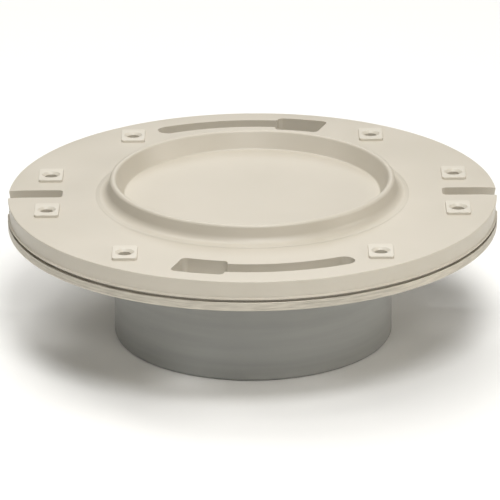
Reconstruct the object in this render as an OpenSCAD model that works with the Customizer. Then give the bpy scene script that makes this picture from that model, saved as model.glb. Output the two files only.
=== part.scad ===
// Adjustable closet flange with a swivelling ring and a lift-out test cap.
// +Z is up along the pipe axis. The origin is on that axis, at the spigot's lower end.

/* [Ring] */
// Radius of the closet bolts' circle
bolt_r = 76.2; // [70:0.1:92]
// Width of the ring outside that circle
edge_w = 12.8; // [10.6:0.1:20]
// Thickness of the ring plate at its raised inner field
plate_t = 7; // [5.5:0.1:9]
// Thickness of the gasket under the plate
gasket_t = 0.9; // [0.6:0.1:2]
// How far the gasket stops short of the ring's edge
gasket_inset = 0.9; // [0.4:0.1:2]
// Thickness of the steel backing ring
backing_t = 3.2; // [2:0.1:5]

/* [Plate face] */
// How far the raised inner field stops short of the bolts' circle
field_in = 7.7; // [7.3:0.1:12]
// Height of the inner field above the band around it
field_step = 0.12; // [0.05:0.01:0.3]
// Width of the outer edge that falls away
fall_w = 5; // [2:0.1:5.5]
// How far it falls to the rim
edge_fall = 0.2; // [0.05:0.01:0.4]

/* [Hub] */
// Height of the plate's face above the spigot's lower end
face_h = 53.3; // [44:0.1:66]
// Outer diameter of the spigot, which fits inside a 4 inch pipe
spigot_od = 101.6; // [99:0.1:122]
// Bore of the socket, which takes a 3 inch pipe
socket_id = 89.2; // [82:0.1:90]
// Depth of the socket
socket_depth = 28; // [16:0.5:31]
// Bore of the throat above the socket
throat_id = 78; // [60:0.5:80]
// Thickness of the stop that the pipe meets
stop_t = 2.5; // [1.5:0.1:3]
// Wall between the test cap's seat and the spigot's outside
seat_wall = 4.8; // [4:0.1:6]
// Depth of that seat below the collar's top
seat_depth = 13; // [12:0.5:15]
// Width of the lead-in cone at the top of that seat
seat_lead = 2.2; // [1.5:0.1:3]
// Width of the collar that holds the ring down
collar_w = 5.2; // [3.5:0.1:7]
// Thickness of the collar
collar_t = 2.8; // [2:0.1:3.5]

/* [Bolt slots] */
// Width of the curved slots and of the open side slots
slot_w = 7.6; // [6.4:0.1:9.2]
// How far a keyhole reaches past the slot on each side
key_lip = 2.7; // [1.5:0.1:3]
// Angle from the slot's middle to the keyhole's far end
key_far = 20.5; // [17:0.5:24]
// Angle from the slot's middle to the keyhole's near end
key_near = 7; // [4:0.5:10]
// Angle from the slot's middle to its plain end
slot_reach = 27.5; // [20:0.5:30]
// How far each open side slot reaches inside the bolts' circle
side_slot_in = 7.2; // [5:0.1:9]

/* [Screw pads] */
// Angle of the outer pads from the side slots
pad_side_a = 14; // [12:0.5:16]
// Angle of the inner pads from the side slots
pad_end_a = 54; // [50:0.5:55]
// Size of a pad across
pad_w = 8.8; // [7.4:0.1:9]
// Size of a pad front to back
pad_l = 12.5; // [9:0.5:12.5]
// Height of a pad above the plate's face
pad_h = 0.9; // [0.6:0.1:2.4]
// Bore of a screw hole
screw_d = 4.6; // [4:0.1:5.5]
// Diameter of the countersink at a pad's face
sink_d = 6.6; // [5.6:0.1:7.2]

/* [Test cap] */
// Height of the cap's raised rim above the plate's face
rim_h = 6.5; // [4.5:0.1:7]
// How far the middle of the raised rim's crest sits inside the spigot's outside
rim_in = 0.7; // [0.3:0.1:1.2]
// Radius of the crest's rounding
crest_r = 1.2; // [0.8:0.1:1.5]
// Width of the raised rim's sloping inner wall, seen from above
wall_w = 3.5; // [3.2:0.1:3.8]
// How far the rim's outer wall leans out towards its foot
wall_lean = 0.5; // [0.2:0.1:1]
// Radius of the hollow rounding at the foot of the outer wall
flank_r = 3; // [1.5:0.1:3]
// Radius of the rounding between the cap's floor and the rim
floor_fillet = 0.8; // [0.3:0.1:1.5]
// Thickness of the lip's edge
lip_t = 0.25; // [0.2:0.05:0.6]
// Width of the lip over the collar and the plate
lip_over = 1; // [0.8:0.1:2.5]
// Thickness of the cap's floor
cap_floor_t = 3; // [2:0.1:4]
// Depth of the cap's skirt
skirt_depth = 10.5; // [9:0.1:11.5]
// Thickness of the cap's skirt
skirt_t = 4.6; // [4:0.1:5]
// Number of ribs under the cap's floor
cap_ribs = 8; // [4:1:12]
// Section of the cap's O-ring
o_ring_d = 2.6; // [2:0.1:3]

/* [Retaining ring] */
// Thickness of the retaining ring
snap_t = 1.5; // [1:0.1:2]
// Depth of its groove in the spigot
snap_seat = 1.2; // [0.8:0.1:1.5]
// How far it stands out from the spigot
snap_out = 3.4; // [2.5:0.1:5]
// Opening between its ends, in degrees
snap_open = 16; // [10:1:30]

/* [Clearances] */
// Radial gap of the plate's bore on the spigot
swivel_gap = 0.05; // [0.02:0.01:0.1]
// Gap between the collar and the plate's rebate
collar_gap = 0.3; // [0.2:0.05:0.5]
// Gap between parts that turn past each other
pass_gap = 0.3; // [0.2:0.05:0.5]
// Radial gap of the backing ring and gasket on the spigot
backing_gap = 0.4; // [0.2:0.05:0.8]
// Radial gap of the O-ring in its seat
seal_gap = 0.05; // [0.02:0.01:0.1]
// Gap between the cap's lip and the plate's face
lip_gap = 0.1; // [0.05:0.05:0.5]
// Radial gap between the retaining ring and the bottom of its groove
snap_gap = 0.1; // [0.05:0.05:0.3]
// Radial gap of the cap's skirt in its seat
skirt_gap = 0.4; // [0.3:0.05:0.6]

/* [Hidden] */
$fn = 96;

ring_r = bolt_r + edge_w;
edge_r = ring_r - fall_w;
field_r = bolt_r - field_in;
side_slot_r = bolt_r - side_slot_in;
spigot_r = spigot_od / 2;
socket_r = socket_id / 2;
throat_r = throat_id / 2;
seat_r = spigot_r - seat_wall;
collar_r = spigot_r + collar_w;
lip_r = collar_r + lip_over;
rim_r = spigot_r - rim_in;
plate_z = face_h - plate_t;
gasket_z = plate_z - gasket_t;
backing_z = gasket_z - backing_t;
collar_z = face_h - collar_t;
rebate_z = collar_z - collar_gap;
snap_z = backing_z - pass_gap - snap_t;
band_z = face_h - field_step;
skirt_r = seat_r - skirt_gap;
skirt_in = skirt_r - skirt_t;
o_ring_r = seat_r - seal_gap - o_ring_d / 2;
o_ring_z = face_h - skirt_depth + 1.5 * o_ring_d;
groove_play = 0.1;
edge_break = 0.4;
mouth_break = 1;
inner_draft = 25;
outer_draft = 12;
key_corner = 2;
snap_hole_d = 2;
snap_ear = 2.6;
snap_ear_reach = 1;
cut = 1;

// A body of revolution from [radius, height] points
module turned(points) {
    rotate_extrude() polygon(points);
}

// A point at radius r and angle a
function polar(r, a) = r * [cos(a), sin(a)];

// Points of an arc, from angle a to angle b about c
function arc(c, r, a, b, n = 8) = [for (i = [0:n]) c + polar(r, a + (b - a) * i / n)];

// A flat ring
module washer(r_in, r_out, z, t) {
    turned([[r_in, z], [r_out, z], [r_out, z + t], [r_in, z + t]]);
}

// A sector of a flat ring, from angle a to angle b
module sector(r_in, r_out, a, b, z, t) {
    far = r_out / cos((b - a) / 2) + cut;
    intersection() {
        washer(r_in, r_out, z, t);
        translate([0, 0, z - cut]) linear_extrude(t + 2 * cut)
            polygon([[0, 0], far * [cos(a), sin(a)], far * [cos(b), sin(b)]]);
    }
}

// Outline of a curved slot about the X axis, with its keyhole end on the -Y side
function slot_outline() =
    let(
        r_in = bolt_r - slot_w / 2 - key_lip,
        r_out = bolt_r + slot_w / 2 + key_lip,
        tip_a = slot_reach - asin(slot_w / 2 / bolt_r),
        in_r = r_in + key_corner,
        out_r = r_out - key_corner,
        in_a = asin(key_corner / in_r),
        out_a = asin(key_corner / out_r),
        axis = [0, 0]
    )
    concat(
        arc(axis, bolt_r + slot_w / 2, -key_near, tip_a, 24),
        arc(polar(bolt_r, tip_a), slot_w / 2, tip_a, tip_a + 180, 12),
        arc(axis, bolt_r - slot_w / 2, tip_a, -key_near, 24),
        arc(polar(in_r, -key_near - in_a), key_corner, 90 - key_near, 180 - key_near - in_a, 5),
        arc(axis, r_in, -key_near - in_a, in_a - key_far),
        arc(polar(in_r, in_a - key_far), key_corner, 180 + in_a - key_far, 270 - key_far, 5),
        arc(polar(out_r, out_a - key_far), key_corner, 270 - key_far, 360 + out_a - key_far, 5),
        arc(axis, r_out, out_a - key_far, -key_near - out_a),
        arc(polar(out_r, -key_near - out_a), key_corner, -key_near - out_a, 90 - key_near, 5)
    );

// Every slot that the closet bolts use, from z upwards by t
module bolt_slots(z, t) {
    for (turn = [90, 270]) rotate(turn)
        translate([0, 0, z]) linear_extrude(t) polygon(slot_outline());
    for (turn = [0, 180]) rotate(turn)
        translate([side_slot_r, -slot_w / 2, z]) cube([ring_r, slot_w, t]);
}

// Places its children at the eight screw pads
module at_pads() {
    for (a = [pad_side_a, pad_end_a], sx = [-1, 1], sy = [-1, 1])
        translate([sx * bolt_r * cos(a), sy * bolt_r * sin(a), 0]) children();
}

// Plain screw holes from z upwards by t
module screw_holes(z, t) {
    at_pads() translate([0, 0, z]) cylinder(d = screw_d, h = t, $fn = 48);
}

// Spigot, pipe socket, throat, cap seat and collar, moulded as one
module hub() {
    stop_z = socket_depth;
    ledge_z = stop_z + stop_t;
    color("dimgray") turned([
        [socket_r + mouth_break, 0],
        [spigot_r - mouth_break, 0],
        [spigot_r, mouth_break],
        [spigot_r, snap_z - groove_play],
        [spigot_r - snap_seat, snap_z - groove_play],
        [spigot_r - snap_seat, snap_z + snap_t + groove_play],
        [spigot_r, snap_z + snap_t + groove_play],
        [spigot_r, collar_z],
        [collar_r, collar_z],
        [collar_r, face_h],
        [seat_r + seat_lead, face_h],
        [seat_r, face_h - seat_lead],
        [seat_r, face_h - seat_depth],
        [throat_r, ledge_z],
        [throat_r, stop_z],
        [socket_r, stop_z],
        [socket_r, mouth_break]
    ]);
}

// Open spring ring in the spigot's groove, which keeps the ring from dropping
module snap_ring() {
    r_in = spigot_r - snap_seat + snap_gap;
    r_out = spigot_r + snap_out;
    ear_r = (spigot_r + r_out) / 2 + snap_ear_reach;
    ear_a = 90 + snap_open / 2 + asin(snap_ear / ear_r);
    color("silver") difference() {
        union() {
            open_ring(r_in, r_out);
            for (s = [-1, 1])
                rotate(90 + s * (ear_a - 90)) translate([ear_r, 0, snap_z])
                    cylinder(r = snap_ear, h = snap_t, $fn = 48);
        }
        translate([0, 0, snap_z - cut]) cylinder(r = r_in, h = snap_t + 2 * cut);
        for (s = [-1, 1])
            rotate(90 + s * (ear_a - 90)) translate([ear_r, 0, snap_z - cut])
                cylinder(d = snap_hole_d, h = snap_t + 2 * cut, $fn = 32);
    }
}

// The retaining ring's flat ring, less the opening between its ends
module open_ring(r_in, r_out) {
    half = snap_open / 2;
    difference() {
        washer(r_in, r_out, snap_z, snap_t);
        sector(r_in - cut, r_out + cut, 90 - half, 90 + half, snap_z - cut, snap_t + 2 * cut);
    }
}

// Ring plate that the toilet is bolted to
module swivel_plate() {
    bore_r = spigot_r + swivel_gap;
    rebate_r = collar_r + collar_gap;
    color("antiquewhite") difference() {
        union() {
            turned([
                [bore_r, plate_z],
                [ring_r - edge_break, plate_z],
                [ring_r, plate_z + edge_break],
                [ring_r, band_z - edge_fall - edge_break],
                [ring_r - edge_break, band_z - edge_fall],
                [edge_r, band_z],
                [field_r + field_step, band_z],
                [field_r, face_h],
                [rebate_r, face_h],
                [rebate_r, rebate_z],
                [bore_r, rebate_z]
            ]);
            at_pads() screw_pad();
        }
        bolt_slots(plate_z - cut, plate_t + 2 * cut);
        screw_holes(plate_z - cut, plate_t + pad_h + 2 * cut);
        at_pads() translate([0, 0, band_z + pad_h - (sink_d - screw_d) / 2])
            cylinder(d1 = screw_d, d2 = sink_d + 2 * cut, h = (sink_d - screw_d) / 2 + cut, $fn = 48);
    }
}

// Raised pad around a screw hole, with bevelled upper edges
module screw_pad() {
    bevel = pad_h / 3;
    profile = [
        [-pad_w / 2, -edge_break],
        [pad_w / 2, -edge_break],
        [pad_w / 2, pad_h - bevel],
        [pad_w / 2 - bevel, pad_h],
        [-pad_w / 2 + bevel, pad_h],
        [-pad_w / 2, pad_h - bevel]
    ];
    translate([0, pad_l / 2, band_z]) rotate([90, 0, 0]) linear_extrude(pad_l) polygon(profile);
}

// Thin gasket between the plate and the backing ring
module gasket() {
    color("black") difference() {
        washer(spigot_r + backing_gap, ring_r - gasket_inset, gasket_z, gasket_t);
        bolt_slots(gasket_z - cut, gasket_t + 2 * cut);
        screw_holes(gasket_z - cut, gasket_t + 2 * cut);
    }
}

// Steel ring under the gasket, with two fine rolled lines round its edge
module backing_ring() {
    line_t = backing_t / 8;
    line_in = line_t / 2;
    color("lightgray") difference() {
        turned([
            [spigot_r + backing_gap, backing_z],
            [ring_r - edge_break, backing_z],
            [ring_r, backing_z + edge_break],
            [ring_r, backing_z + 3 * line_t],
            [ring_r - line_in, backing_z + 3.5 * line_t],
            [ring_r, backing_z + 4 * line_t],
            [ring_r, backing_z + 5 * line_t],
            [ring_r - line_in, backing_z + 5.5 * line_t],
            [ring_r, backing_z + 6 * line_t],
            [ring_r, gasket_z],
            [spigot_r + backing_gap, gasket_z]
        ]);
        bolt_slots(backing_z - cut, backing_t + 2 * cut);
        screw_holes(backing_z - cut, backing_t + 2 * cut);
    }
}

// Lift-out cap that closes the throat for a pressure test
module test_cap() {
    wall_foot_r = rim_r + crest_r + wall_lean;
    floor_r = rim_r - wall_w;
    top_z = face_h + rim_h;
    lip_z = face_h + lip_gap + lip_t;
    groove = o_ring_d / 2 + groove_play;
    groove_r = o_ring_r - o_ring_d / 2;
    rib_t = 1.6;
    rib_z = face_h - skirt_depth / 2;
    boss_r = 7;
    color("antiquewhite") union() {
        turned(concat(
            [[0, face_h - cap_floor_t], [0, face_h]],
            arc([floor_r - floor_fillet, face_h + floor_fillet], floor_fillet, 270, 360 - inner_draft, 6),
            arc([rim_r, top_z - crest_r], crest_r, 180 - inner_draft, outer_draft, 12),
            arc([wall_foot_r + flank_r, lip_z + flank_r], flank_r, 180 + outer_draft, 270, 10),
            [
                [lip_r - lip_t, lip_z],
                [lip_r, face_h + lip_gap],
                [collar_r - edge_break, face_h + lip_gap],
                [collar_r - edge_break, face_h],
                [skirt_r + seat_lead, face_h],
                [skirt_r, face_h - seat_lead],
                [skirt_r, o_ring_z + groove],
                [groove_r, o_ring_z + groove],
                [groove_r, o_ring_z - groove],
                [skirt_r, o_ring_z - groove],
                [skirt_r, face_h - skirt_depth + edge_break],
                [skirt_r - edge_break, face_h - skirt_depth],
                [skirt_in, face_h - skirt_depth],
                [skirt_in, face_h - cap_floor_t]
            ]
        ));
        translate([0, 0, rib_z]) cylinder(r = boss_r, h = face_h - cap_floor_t - rib_z + edge_break);
        for (i = [0:cap_ribs - 1]) rotate(i * 360 / cap_ribs)
            translate([0, -rib_t / 2, rib_z])
                cube([skirt_in + edge_break, rib_t, face_h - cap_floor_t - rib_z + edge_break]);
    }
}

// O-ring that seals the cap in its seat
module cap_o_ring() {
    color("black") translate([0, 0, o_ring_z])
        rotate_extrude() translate([o_ring_r, 0]) circle(d = o_ring_d, $fn = 32);
}

hub();
snap_ring();
swivel_plate();
gasket();
backing_ring();
test_cap();
cap_o_ring();
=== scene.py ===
import math

import bpy
from mathutils import Matrix, Vector


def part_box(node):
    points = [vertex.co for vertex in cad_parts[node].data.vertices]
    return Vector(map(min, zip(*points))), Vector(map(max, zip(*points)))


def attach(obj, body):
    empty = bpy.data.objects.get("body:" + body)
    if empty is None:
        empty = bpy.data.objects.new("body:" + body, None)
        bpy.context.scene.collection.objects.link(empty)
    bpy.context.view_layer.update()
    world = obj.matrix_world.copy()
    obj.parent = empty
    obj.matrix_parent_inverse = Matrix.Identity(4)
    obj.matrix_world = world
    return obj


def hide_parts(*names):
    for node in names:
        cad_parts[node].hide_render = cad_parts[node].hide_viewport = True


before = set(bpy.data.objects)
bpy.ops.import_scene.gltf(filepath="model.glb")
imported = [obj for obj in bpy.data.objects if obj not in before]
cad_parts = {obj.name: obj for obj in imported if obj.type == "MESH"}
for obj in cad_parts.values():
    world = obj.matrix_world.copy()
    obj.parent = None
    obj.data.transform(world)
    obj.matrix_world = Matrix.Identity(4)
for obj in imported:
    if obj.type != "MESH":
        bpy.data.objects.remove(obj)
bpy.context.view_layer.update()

mm = 0.001

# heights and radii that the pieces share, read off the frame
plateLow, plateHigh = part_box("swivel_plate")
backLow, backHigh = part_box("backing_ring")
_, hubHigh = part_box("hub")
capLow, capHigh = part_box("test_cap")
faceZ = hubHigh[2] / mm                      # the collar is flush with the plate's face
rimZ = capHigh[2] / mm
plateZ = plateLow[2] / mm
backZ = backLow[2] / mm
backTopZ = backHigh[2] / mm
ringR = plateHigh[1] / mm
collarR = hubHigh[0] / mm
lipR = capHigh[0] / mm
skirtZ = capLow[2] / mm


def polar(radius, degrees):
    turn = math.radians(degrees)
    return Vector((radius * math.cos(turn), radius * math.sin(turn)))


def arcPoints(center, radius, start, end, count):
    # points of an arc about center, both ends included
    step = (end - start) / count
    return [Vector(center) + polar(radius, start + i * step) for i in range(count + 1)]


def rounded(corners, closed=True, count=5):
    # corners are (radius, height, fillet): each fillet becomes an arc that both sides run into
    points = []
    total = len(corners)
    for i, (r, z, fillet) in enumerate(corners):
        here = Vector((r, z))
        if fillet == 0 or (not closed and i in (0, total - 1)):
            points.append(here)
            continue
        before = (Vector(corners[i - 1][:2]) - here).normalized()
        after = (Vector(corners[(i + 1) % total][:2]) - here).normalized()
        half = before.angle(after) / 2
        reach = fillet / math.tan(half)
        middle = here + (before + after).normalized() * fillet / math.sin(half)
        first = here + before * reach - middle
        last = here + after * reach - middle
        sweep = first.angle_signed(last)
        for step in range(count + 1):
            turned = first.copy()
            turned.rotate(Matrix.Rotation(-sweep * step / count, 2))
            points.append(middle + turned)
    return points


def deselectAll():
    for obj in bpy.context.selected_objects:
        obj.select_set(False)


def pick(obj):
    deselectAll()
    obj.select_set(True)
    bpy.context.view_layer.objects.active = obj


def editMode(on):
    bpy.ops.object.mode_set(mode="EDIT" if on else "OBJECT")


def cleanUp(obj):
    # doubles merged and every face turned outwards
    pick(obj)
    editMode(True)
    bpy.ops.mesh.select_all(action="SELECT")
    bpy.ops.mesh.remove_doubles(threshold=0.001 * mm)
    bpy.ops.mesh.normals_make_consistent(inside=False)
    editMode(False)


def pointLoop(name, places):
    # a circle of as many points as the outline has, with each point moved to its place
    deselectAll()
    bpy.ops.mesh.primitive_circle_add(vertices=len(places), radius=10 * mm)
    obj = bpy.context.object
    obj.name = name
    obj.data.name = name
    for vertex, place in zip(obj.data.vertices, places):
        vertex.co = Vector(place) * mm
    return obj


def lathe(name, outline, closed=True, steps=192):
    # spins a (radius, height) outline in mm once round the pipe axis
    obj = pointLoop(name, [(p[0], 0, p[1]) for p in outline])
    pick(obj)
    if not closed:
        ends = {0, len(outline) - 1}
        for part in (*obj.data.vertices, *obj.data.edges):
            part.select = False
        for edge in obj.data.edges:
            edge.select = set(edge.vertices) == ends
        editMode(True)
        bpy.ops.mesh.select_mode(type="EDGE")
        bpy.ops.mesh.delete(type="EDGE_FACE")
        bpy.ops.mesh.select_mode(type="VERT")
        editMode(False)
    editMode(True)
    bpy.ops.mesh.select_all(action="SELECT")
    bpy.ops.mesh.spin(steps=steps, angle=2 * math.pi, center=(0, 0, 0), axis=(0, 0, 1))
    editMode(False)
    cleanUp(obj)
    return obj


def prism(name, outline, low, high):
    # an (x, y) outline in mm, filled and extruded from height low to high
    obj = pointLoop(name, [(p[0], p[1], low) for p in outline])
    pick(obj)
    editMode(True)
    bpy.ops.mesh.select_all(action="SELECT")
    bpy.ops.mesh.edge_face_add()
    bpy.ops.mesh.extrude_region_move(TRANSFORM_OT_translate={"value": (0, 0, (high - low) * mm)})
    editMode(False)
    cleanUp(obj)
    return obj


def mergeFlats(obj):
    # the flat rings become single faces, so that cuts through them leave clean edges
    pick(obj)
    editMode(True)
    bpy.ops.mesh.select_all(action="SELECT")
    bpy.ops.mesh.dissolve_limited(angle_limit=math.radians(0.01))
    editMode(False)


def combine(obj, other, operation):
    pick(obj)
    step = obj.modifiers.new("combine", "BOOLEAN")
    step.operation = operation
    step.solver = "EXACT"
    step.object = other
    bpy.ops.object.modifier_apply(modifier=step.name)
    bpy.data.objects.remove(other)


def cutAway(obj, cutter):
    combine(obj, cutter, "DIFFERENCE")


def weldOn(obj, part):
    combine(obj, part, "UNION")


def bevelSharp(obj, width, segments=2, over=40):
    # rounds every edge that turns by more than so many degrees
    pick(obj)
    editMode(True)
    bpy.ops.mesh.select_mode(type="EDGE")
    bpy.ops.mesh.select_all(action="DESELECT")
    bpy.ops.mesh.edges_select_sharp(sharpness=math.radians(over))
    bpy.ops.mesh.bevel(offset=width * mm, segments=segments, profile=0.5, clamp_overlap=True)
    bpy.ops.mesh.select_mode(type="VERT")
    editMode(False)


def smooth(obj, degrees=32):
    # roundings shade smoothly, and the large faces between them stay flat
    pick(obj)
    bpy.ops.object.shade_smooth_by_angle(angle=math.radians(degrees))
    even = obj.modifiers.new("even", "WEIGHTED_NORMAL")
    even.keep_sharp = True
    bpy.ops.object.modifier_apply(modifier=even.name)


def copied(obj, name):
    twin = obj.copy()
    twin.data = obj.data.copy()
    twin.name = name
    twin.data.name = name
    bpy.context.collection.objects.link(twin)
    return twin


def placed(obj, shift=(0, 0, 0), turn=0.0):
    # moves a finished piece and keeps its object at the origin
    obj.location = Vector(shift) * mm
    obj.rotation_euler = (0, 0, math.radians(turn))
    pick(obj)
    bpy.ops.object.transform_apply(location=True, rotation=True, scale=True)


def hexColor(code):
    # "#rrggbb" as a colour picker shows it, turned to linear light
    parts = [int(code[i:i + 2], 16) / 255 for i in (1, 3, 5)]
    return (*[c / 12.92 if c <= 0.04045 else ((c + 0.055) / 1.055) ** 2.4 for c in parts], 1.0)


def newMaterial(name):
    mat = bpy.data.materials.new(name)
    mat.use_nodes = True
    mat.node_tree.nodes.clear()
    return mat


def addNode(mat, kind, inputs=None, **settings):
    # inputs maps a socket to a value, or to (node, output) to link it
    node = mat.node_tree.nodes.new(kind)
    for key, value in settings.items():
        setattr(node, key, value)
    for socket, value in (inputs or {}).items():
        if isinstance(value, tuple) and isinstance(value[0], bpy.types.Node):
            mat.node_tree.links.new(value[0].outputs[value[1]], node.inputs[socket])
        else:
            node.inputs[socket].default_value = value
    return node


def colorRamp(mat, source, stops):
    ramp = addNode(mat, "ShaderNodeValToRGB", {"Fac": source})
    elements = ramp.color_ramp.elements
    while len(elements) < len(stops):
        elements.new(0.5)
    for element, (place, code) in zip(elements, stops):
        element.position = place
        element.color = hexColor(code)
    return ramp


def noise(mat, vector, sizeMm, detail=2.0):
    return addNode(mat, "ShaderNodeTexNoise",
                   {"Vector": vector, "Scale": 1 / (sizeMm * mm), "Detail": detail})


def finishMaterial(mat, shader):
    addNode(mat, "ShaderNodeOutputMaterial", {"Surface": (shader, "BSDF")})
    return mat


def paint(obj, mat):
    obj.data.materials.clear()
    obj.data.materials.append(mat)


mouldedAbs = {
    "light": "#c3bcae",
    "shade": "#beb7a8",
    "grainMm": 0.45,      # spark-eroded mould finish
    "cloudMm": 30,        # faint flow clouds in the moulding
    "roughness": 0.42,
}


def makeMouldedAbs(name, look):
    # Injection-moulded ABS: dense, slightly translucent, satin from a fine spark-eroded mould
    mat = newMaterial(name)
    place = addNode(mat, "ShaderNodeTexCoord")
    cloud = noise(mat, (place, "Object"), look["cloudMm"], 4.0)
    grain = noise(mat, (place, "Object"), look["grainMm"])
    tint = colorRamp(mat, (cloud, "Fac"), [(0.32, look["shade"]), (0.68, look["light"])])
    gloss = addNode(mat, "ShaderNodeMapRange",
                    {"Value": (cloud, "Fac"), "From Min": 0.3, "From Max": 0.7,
                     "To Min": look["roughness"] - 0.05, "To Max": look["roughness"] + 0.06})
    bump = addNode(mat, "ShaderNodeBump",
                   {"Height": (grain, "Fac"), "Strength": 0.15, "Distance": 0.04 * mm})
    shader = addNode(mat, "ShaderNodeBsdfPrincipled",
                     {"Base Color": (tint, "Color"), "Roughness": (gloss, "Result"),
                      "Normal": (bump, "Normal"), "IOR": 1.53, "Subsurface Weight": 0.06,
                      "Subsurface Scale": 1.0 * mm, "Subsurface Radius": (1.0, 0.8, 0.6)})
    return finishMaterial(mat, shader)


greyPvc = {"light": "#a1a19d", "shade": "#939490", "grainMm": 0.6, "drawMm": 5, "roughness": 0.38}


def makeGreyPvc(name, look):
    # Grey pressure-pipe PVC: dense and satin, with faint rings round it from turning the mould
    mat = newMaterial(name)
    place = addNode(mat, "ShaderNodeTexCoord")
    stretch = addNode(mat, "ShaderNodeMapping",
                      {"Vector": (place, "Object"), "Scale": (0.06, 0.06, 1.0)})
    draw = noise(mat, (stretch, "Vector"), look["drawMm"], 4.0)
    grain = noise(mat, (place, "Object"), look["grainMm"])
    tint = colorRamp(mat, (draw, "Fac"), [(0.3, look["shade"]), (0.7, look["light"])])
    relief = addNode(mat, "ShaderNodeMath", {0: (draw, "Fac"), 1: 0.6, 2: (grain, "Fac")},
                     operation="MULTIPLY_ADD")
    bump = addNode(mat, "ShaderNodeBump",
                   {"Height": (relief, "Value"), "Strength": 0.15, "Distance": 0.05 * mm})
    shader = addNode(mat, "ShaderNodeBsdfPrincipled",
                     {"Base Color": (tint, "Color"), "Roughness": look["roughness"],
                      "Normal": (bump, "Normal"), "IOR": 1.53})
    return finishMaterial(mat, shader)


galvanised = {"light": "#d4cec1", "shade": "#b2aca0", "streakMm": 0.7, "roughness": 0.5}
springWire = {"light": "#c9c9c7", "shade": "#96968f", "streakMm": 0.5, "roughness": 0.28}


def makeRolledSteel(name, look):
    # Steel rolled round its edge: grey metal with fine streaks that run round the pipe axis
    mat = newMaterial(name)
    place = addNode(mat, "ShaderNodeTexCoord")
    split = addNode(mat, "ShaderNodeSeparateXYZ", {"Vector": (place, "Object")})
    angle = addNode(mat, "ShaderNodeMath", {0: (split, "Y"), 1: (split, "X")}, operation="ARCTAN2")
    along = addNode(mat, "ShaderNodeMath", {0: (angle, "Value"), 1: 8 * mm}, operation="MULTIPLY")
    flat = addNode(mat, "ShaderNodeVectorMath", {0: (place, "Object"), 1: (1, 1, 0)},
                   operation="MULTIPLY")
    radius = addNode(mat, "ShaderNodeVectorMath", {0: (flat, "Vector")}, operation="LENGTH")
    around = addNode(mat, "ShaderNodeCombineXYZ",
                     {"X": (along, "Value"), "Y": (radius, "Value"), "Z": (split, "Z")})
    streak = noise(mat, (around, "Vector"), look["streakMm"], 5.0)
    tint = colorRamp(mat, (streak, "Fac"), [(0.3, look["shade"]), (0.7, look["light"])])
    gloss = addNode(mat, "ShaderNodeMapRange",
                    {"Value": (streak, "Fac"), "From Min": 0.3, "From Max": 0.7,
                     "To Min": look["roughness"] - 0.06, "To Max": look["roughness"] + 0.12})
    bump = addNode(mat, "ShaderNodeBump",
                   {"Height": (streak, "Fac"), "Strength": 0.25, "Distance": 0.06 * mm})
    shader = addNode(mat, "ShaderNodeBsdfPrincipled",
                     {"Base Color": (tint, "Color"), "Metallic": 1.0,
                      "Roughness": (gloss, "Result"), "Normal": (bump, "Normal")})
    return finishMaterial(mat, shader)


gasketEpdm = {"light": "#a29c91", "shade": "#8b867b", "grainMm": 0.35, "roughness": 0.75}
sealEpdm = {"light": "#2f2e2c", "shade": "#232321", "grainMm": 0.3, "roughness": 0.5}


def makeRubber(name, look):
    # Moulded EPDM: matte and slightly dusty
    mat = newMaterial(name)
    place = addNode(mat, "ShaderNodeTexCoord")
    grain = noise(mat, (place, "Object"), look["grainMm"], 3.0)
    tint = colorRamp(mat, (grain, "Fac"), [(0.35, look["shade"]), (0.65, look["light"])])
    bump = addNode(mat, "ShaderNodeBump",
                   {"Height": (grain, "Fac"), "Strength": 0.3, "Distance": 0.04 * mm})
    shader = addNode(mat, "ShaderNodeBsdfPrincipled",
                     {"Base Color": (tint, "Color"), "Roughness": look["roughness"],
                      "Normal": (bump, "Normal"), "IOR": 1.5})
    return finishMaterial(mat, shader)


plateAbs = makeMouldedAbs("beige moulded ABS", mouldedAbs)
# the pads are the same ABS as the plate; their paler tone is a painted highlight for the light the
# raised pads catch
padAbsPaintedHighlight = makeMouldedAbs("moulded ABS, paler for painted highlight", {**mouldedAbs, "light": "#cdc7ba", "shade": "#c7c1b3"})
hubPvc = makeGreyPvc("grey pipe PVC", greyPvc)
ringSteel = makeRolledSteel("rolled galvanised steel", galvanised)
springSteel = makeRolledSteel("bright spring steel", springWire)
gasketRubber = makeRubber("grey EPDM gasket", gasketEpdm)
sealRubber = makeRubber("black EPDM seal", sealEpdm)
paint(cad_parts["snap_ring"], springSteel)
paint(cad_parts["gasket"], gasketRubber)
paint(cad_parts["cap_o_ring"], sealRubber)
print("materials done")


# openings that the plate and the backing ring share
slots = {
    "boltR": 76.2,        # closet bolts' circle
    "width": 7.6,
    "keyLip": 2.7,        # how far the keyhole reaches past the slot
    "keyFar": 20.5,
    "keyNear": 7,
    "reach": 27.5,
    "corner": 2.0,
    "sideInner": 69,
    "sideCorner": 1.6,
    "padSide": 14,
    "padEnd": 54,
    "screwR": 2.3,
    "sinkR": 3.3,
    "edge": 0.35,         # rounding of the moulded edges
    "past": 3,            # how far the cutters reach past what they cut
}


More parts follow.
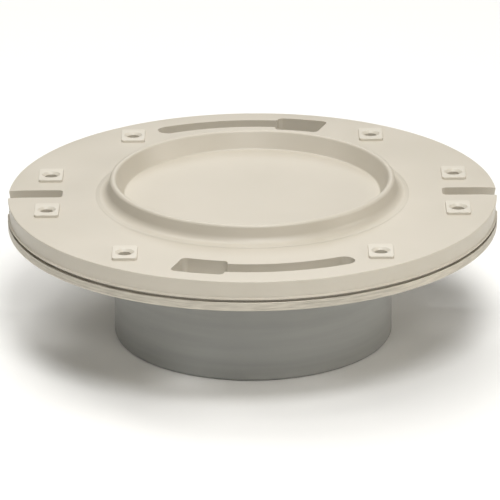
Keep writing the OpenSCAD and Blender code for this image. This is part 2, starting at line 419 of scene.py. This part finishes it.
def curvedSlot(look):
    # outline of a curved slot about the X axis, its keyhole end on the -Y side
    half = look["width"] / 2
    bolt, corner = look["boltR"], look["corner"]
    near, far = -look["keyNear"], -look["keyFar"]
    tip = look["reach"] - math.degrees(math.asin(half / bolt))
    inner = bolt - half - look["keyLip"]
    outer = bolt + half + look["keyLip"]
    inTurn = math.degrees(math.asin(corner / (inner + corner)))
    outTurn = math.degrees(math.asin(corner / (outer - corner)))
    axis = (0, 0)
    return (
        arcPoints(axis, bolt + half, near, tip, 20)
        + arcPoints(polar(bolt, tip), half, tip, tip + 180, 14)[1:-1]
        + arcPoints(axis, bolt - half, tip, near, 20)
        + arcPoints(polar(inner + corner, near - inTurn), corner, near + 90, near + 180 - inTurn, 6)
        + arcPoints(axis, inner, near - inTurn, far + inTurn, 6)[1:-1]
        + arcPoints(polar(inner + corner, far + inTurn), corner, far + 180 + inTurn, far + 270, 6)
        + arcPoints(polar(outer - corner, far + outTurn), corner, far + 270, far + 360 + outTurn, 6)
        + arcPoints(axis, outer, far + outTurn, near - outTurn, 6)[1:-1]
        + arcPoints(polar(outer - corner, near - outTurn), corner, near - outTurn, near + 90, 6)
    )


def sideSlot(look):
    # outline of an open slot along +X, with small rounded inner corners
    half, corner = look["width"] / 2, look["sideCorner"]
    start, end = look["sideInner"], ringR + look["past"]
    return ([Vector((end, -half)), Vector((end, half))]
            + arcPoints((start + corner, half - corner), corner, 90, 180, 4)
            + arcPoints((start + corner, corner - half), corner, 180, 270, 4))


def padPlaces(look):
    turns = [sign * look[key] + side
             for key in ("padSide", "padEnd") for side in (0, 180) for sign in (-1, 1)]
    return [polar(look["boltR"], turn) for turn in turns]


def cutOpenings(obj, look, bottom, top):
    low, high = bottom - look["past"], top + look["past"]
    for turn in (90, 270):
        cutter = prism("slotCutter", curvedSlot(look), low, high)
        placed(cutter, turn=turn)
        cutAway(obj, cutter)
    for turn in (0, 180):
        cutter = prism("sideCutter", sideSlot(look), low, high)
        placed(cutter, turn=turn)
        cutAway(obj, cutter)
    for place in padPlaces(look):
        cutter = prism("screwCutter", arcPoints(place, look["screwR"], 0, 352.5, 47), low, high)
        cutAway(obj, cutter)


plate = {
    "boreR": 50.85,
    "footIn": 0.05,
    "rebateR": collarR + 0.3,
    "rebateZ": faceZ - 3.1,
    "fieldR": 68.5,       # raised inner field
    "fieldStep": 0.05,
    "fieldSlope": 1.5,
    "edgeR": 84,          # from here the face falls to the rim
    "edgeFall": 0.2,
    "topRound": 0.3,
    "hollowZ": 2.6,       # the rim's side is slightly hollow, deepest at this height
    "hollowIn": 0.75,
    "hollowRound": 14,
    "sideIn": 0.2,
    "beadT": 0.8,         # fine bead round the rim's lower edge
    "beadEdge": 0.5,
    "beadOut": 0.6,
}


def makeRingPlate(look):
    bandZ = faceZ - look["fieldStep"]
    outline = rounded([
        (look["boreR"], plateZ, 0.3),
        (ringR - look["footIn"], plateZ, 0.2),
        (ringR, plateZ + look["beadEdge"], 0.12),
        (ringR - look["beadOut"], plateZ + look["beadT"], 0.1),
        (ringR - look["hollowIn"], plateZ + look["hollowZ"], look["hollowRound"]),
        (ringR - look["sideIn"], bandZ - look["edgeFall"], look["topRound"]),
        (look["edgeR"], bandZ, 0),
        (look["fieldR"], bandZ, 0),
        (look["fieldR"] - look["fieldSlope"], faceZ, 0),
        (look["rebateR"], faceZ, 0.25),
        (look["rebateR"], look["rebateZ"], 0),
        (look["boreR"], look["rebateZ"], 0.3),
    ])
    body = lathe("ringPlate", outline)
    mergeFlats(body)
    cutOpenings(body, slots, plateZ, faceZ)
    bevelSharp(body, slots["edge"])
    smooth(body)
    paint(body, plateAbs)
    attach(body, "ring")
    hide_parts("swivel_plate")


pad = {"width": 8.8, "length": 12.5, "height": 0.9, "foot": 0.4, "corner": 1.1, "edge": 0.35}


def makePads(look):
    # one pad with its countersunk screw hole, copied to the eight places
    bandZ = faceZ - plate["fieldStep"]
    top = bandZ + look["height"]
    across, along, corner = look["width"] / 2, look["length"] / 2, look["corner"]
    outline = []
    for quarter, (sideX, sideY) in enumerate(((1, 1), (-1, 1), (-1, -1), (1, -1))):
        middle = (sideX * (across - corner), sideY * (along - corner))
        outline += arcPoints(middle, corner, 90 * quarter, 90 * quarter + 90, 4)
    first = prism("pad", outline, bandZ - look["foot"], top)
    screwR, sinkR, past = slots["screwR"], slots["sinkR"], slots["past"]
    cutAway(first, lathe("sinkCutter", [
        (0, bandZ - past), (screwR, bandZ - past), (screwR, top - (sinkR - screwR)),
        (sinkR + past, top + past), (0, top + past),
    ], closed=False, steps=48))
    bevelSharp(first, look["edge"], 3)
    smooth(first)
    # paler copy of the plate's ABS: painted highlight on the pads
    paint(first, padAbsPaintedHighlight)
    for number, place in enumerate(padPlaces(slots), 1):
        twin = copied(first, f"screwPad_{number}")
        placed(twin, (place.x, place.y, 0))
        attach(twin, "ring")
    bpy.data.objects.remove(first)


makeRingPlate(plate)
makePads(pad)
print("ring plate done")


backing = {"boreR": 51.2, "lines": 2, "lineIn": 0.06, "lineT": 0.4, "lip": 0.4, "edge": 0.2}


def makeBackingRing(look):
    lines = []
    thick = backTopZ - backZ
    for i in range(look["lines"]):
        middle = backZ + thick * (i + 1) / (look["lines"] + 1)
        lines += [(ringR, middle - look["lineT"] / 2, 0.05), (ringR - look["lineIn"], middle, 0),
                  (ringR, middle + look["lineT"] / 2, 0.05)]
    outline = rounded([
        (look["boreR"], backZ, 0.3),
        (ringR, backZ, look["lip"]),
        *lines,
        (ringR, backTopZ, 0.3),
        (look["boreR"], backTopZ, 0.3),
    ], count=4)
    body = lathe("backingRing", outline)
    mergeFlats(body)
    cutOpenings(body, slots, backZ, backTopZ)
    bevelSharp(body, look["edge"])
    smooth(body)
    paint(body, ringSteel)
    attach(body, "ring")
    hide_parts("backing_ring")


makeBackingRing(backing)
print("backing ring done")


hub = {
    "spigotR": 50.8,
    "mouth": 1.3,
    "leadIn": 0.8,        # chamfer at the socket's mouth
    "leadZ": 1.0,
    "socketR": 44.6,
    "socketZ": 28,
    "throatR": 39,
    "stopT": 2.5,
    "seatR": 46,
    "seatLead": 2.2,
    "seatDepth": 13,
    "collarT": 2.8,
    "grooveR": 49.6,
    "grooveLow": 40.3,
    "grooveHigh": 42.0,
}


def makeHub(look):
    low, high = look["grooveLow"], look["grooveHigh"]
    outline = rounded([
        (look["socketR"] + look["leadIn"], 0, 0.3),
        (look["spigotR"], 0, look["mouth"]),
        (look["spigotR"], low, 0.15),
        (look["grooveR"], low, 0),
        (look["grooveR"], high, 0),
        (look["spigotR"], high, 0.15),
        (look["spigotR"], faceZ - look["collarT"], 0),
        (collarR, faceZ - look["collarT"], 0.3),
        (collarR, faceZ, 0.2),
        (look["seatR"] + look["seatLead"], faceZ, 0.2),
        (look["seatR"], faceZ - look["seatLead"], 0.3),
        (look["seatR"], faceZ - look["seatDepth"], 0.8),
        (look["throatR"], look["socketZ"] + look["stopT"], 1.5),
        (look["throatR"], look["socketZ"], 0.4),
        (look["socketR"], look["socketZ"], 0.5),
        (look["socketR"], look["leadZ"], 0.3),
    ])
    body = lathe("hubBody", outline)
    smooth(body)
    paint(body, hubPvc)
    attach(body, "hub")
    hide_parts("hub")


makeHub(hub)
print("hub done")


cap = {
    "floorT": 3.0,
    "floorR": 46.6,       # where the raised rim's sloping inner wall starts
    "crestInR": 49.6,
    "crestOutR": 51.6,
    "footR": 52.9,
    "footRound": 3.0,
    "lipT": 0.25,
    "lipGap": 0.1,
    "lipFeather": 1.6,    # the lip thins out over this width
    "lipUnder": 0.02,
    "skirtR": 45.6,
    "seatLead": 2.2,      # cone that meets the lead-in of the hub's seat
    "skirtT": 4.6,
    "grooveR": 43.35,
    "grooveLow": 5.3,
    "grooveHigh": 8.0,
    "ribs": 8,
    "ribT": 1.6,
    "ribZ": 5.2,          # lower edge of the ribs below the plate's face
    "ribEdge": 0.25,
    "bossR": 7,
    "bossDrop": 1,        # how far the boss stands below the ribs
    "weld": 0.4,          # how far ribs and boss reach into the floor and the skirt
}


def makeTestCap(look):
    lipZ = faceZ + look["lipGap"] + look["lipT"]
    skirtIn = look["skirtR"] - look["skirtT"]
    under = faceZ - look["floorT"]
    outline = rounded([
        (0, faceZ, 0),
        (look["floorR"], faceZ, 0.8),
        (look["crestInR"], rimZ, 1.2),
        (look["crestOutR"], rimZ, 1.2),
        (look["footR"], lipZ, look["footRound"]),
        (lipR - look["lipFeather"], lipZ, 0.6),
        (lipR, faceZ + 2 * look["lipUnder"], 0),
        (lipR - 0.1, faceZ + look["lipUnder"], 0),
        (collarR - 0.4, faceZ + look["lipUnder"], 0),
        (collarR - 0.4, faceZ, 0),
        (look["skirtR"] + look["seatLead"], faceZ, 0),
        (look["skirtR"], faceZ - look["seatLead"], 0.3),
        (look["skirtR"], faceZ - look["grooveLow"], 0.1),
        (look["grooveR"], faceZ - look["grooveLow"], 0),
        (look["grooveR"], faceZ - look["grooveHigh"], 0),
        (look["skirtR"], faceZ - look["grooveHigh"], 0.1),
        (look["skirtR"], skirtZ, 0.5),
        (skirtIn, skirtZ, 0.4),
        (skirtIn, under, 0.8),
        (0, under, 0),
    ], closed=False, count=6)
    body = lathe("testCap", outline, closed=False)
    weld = look["weld"]
    bossLow = faceZ - look["ribZ"] - look["bossDrop"]
    weldOn(body, lathe("capBoss", rounded([
        (0, bossLow, 0),
        (look["bossR"], bossLow, 0.5),
        (look["bossR"], under + weld, 0),
        (0, under + weld, 0),
    ], closed=False), closed=False, steps=64))
    deep = look["ribZ"] - look["floorT"]
    for number in range(look["ribs"]):
        deselectAll()
        bpy.ops.mesh.primitive_cube_add(
            size=1, location=(skirtIn / 2 * mm, 0, (under + (weld - deep) / 2) * mm),
            scale=((skirtIn + 2 * weld) * mm, look["ribT"] * mm, (deep + weld) * mm))
        rib = bpy.context.object
        bpy.ops.object.transform_apply(location=True, rotation=True, scale=True)
        bevelSharp(rib, look["ribEdge"])
        placed(rib, turn=number * 360 / look["ribs"])
        weldOn(body, rib)
    cleanUp(body)
    smooth(body)
    paint(body, plateAbs)
    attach(body, "cap")
    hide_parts("test_cap")


makeTestCap(cap)
print("test cap done")


studio = {
    "floor": "#f6f6f4",
    "floorSize": 30,
    "floorBack": 10,
    "distance": 1.5,
    "elevation": 20.17,
    "lens": 297.0,
    "rimZ": 53.0,         # height of the point that the camera's distance is measured from
    "aimDrop": 20.7,      # the camera aims this far below it
    "aimSide": -1.0,
    "roll": -0.42,
    "world": 0.02,
}

# name: place in metres, size in metres, power in watts, colour
softboxes = {
    "topLight": ((0.0, 0.0, 1.5), 1.0, 8.4, "#fffdfa"),
    "highLeftLight": ((-0.4, 0.5, 1.3), 0.8, 5.6, "#fffdfa"),
    "overLight": ((0.15, -0.7, 1.2), 0.5, 9.4, "#ffffff"),
    "backLight": ((0.0, 1.35, 1.1), 0.9, 5.2, "#ffffff"),
    "rightLight": ((1.4, -0.2, 0.45), 0.6, 5.3, "#fffaf2"),
    "frontLight": ((0.1, -1.4, 0.86), 0.4, 3.1, "#fffdfa"),
    "frontLeftLight": ((-0.6, -1.3, 0.8), 0.4, 1.6, "#fffdfa"),
    "leftLight": ((-1.3, -0.6, 0.6), 0.8, 0.8, "#ffffff"),
}


def makeFloor(look):
    deselectAll()
    bpy.ops.mesh.primitive_plane_add(size=look["floorSize"], location=(0, look["floorBack"], 0))
    floor = bpy.context.object
    floor.name = "studioFloor"
    mat = newMaterial("matte white paper")
    shader = addNode(mat, "ShaderNodeBsdfPrincipled",
                     {"Base Color": hexColor(look["floor"]), "Roughness": 0.9,
                      "Specular IOR Level": 0.1})
    paint(floor, finishMaterial(mat, shader))


def aim(obj, target, roll=0.0):
    turn = (Vector(target) - obj.location).to_track_quat("-Z", "Y").to_matrix()
    obj.rotation_euler = (turn @ Matrix.Rotation(math.radians(roll), 3, "Z")).to_euler()


def makeLights(look):
    for name, (place, size, power, code) in softboxes.items():
        lamp = bpy.data.lights.new(name, "AREA")
        lamp.shape = "DISK"
        lamp.size = size
        lamp.energy = power
        lamp.color = hexColor(code)[:3]
        box = bpy.data.objects.new(name, lamp)
        bpy.context.collection.objects.link(box)
        box.location = place
        aim(box, (0, 0, faceZ * mm))
    world = bpy.data.worlds.new("studio")
    world.use_nodes = True
    sky = world.node_tree.nodes["Background"]
    sky.inputs["Color"].default_value = hexColor("#ffffff")
    sky.inputs["Strength"].default_value = look["world"]
    bpy.context.scene.world = world


def makeCamera(look):
    lens = bpy.data.cameras.new("camera")
    lens.lens = look["lens"]
    lens.sensor_width = 36
    lens.clip_start = 0.01
    camera = bpy.data.objects.new("camera", lens)
    bpy.context.collection.objects.link(camera)
    rise = math.radians(look["elevation"])
    away, drop, high = look["distance"], look["aimDrop"] * mm, look["rimZ"] * mm
    camera.location = (0, -away * math.cos(rise), high + away * math.sin(rise))
    target = (look["aimSide"] * mm, -drop * math.sin(rise), high - drop * math.cos(rise))
    aim(camera, target, look["roll"])
    bpy.context.scene.camera = camera


makeFloor(studio)
makeLights(studio)
makeCamera(studio)
bpy.context.scene.view_settings.view_transform = "Standard"
print("studio done")
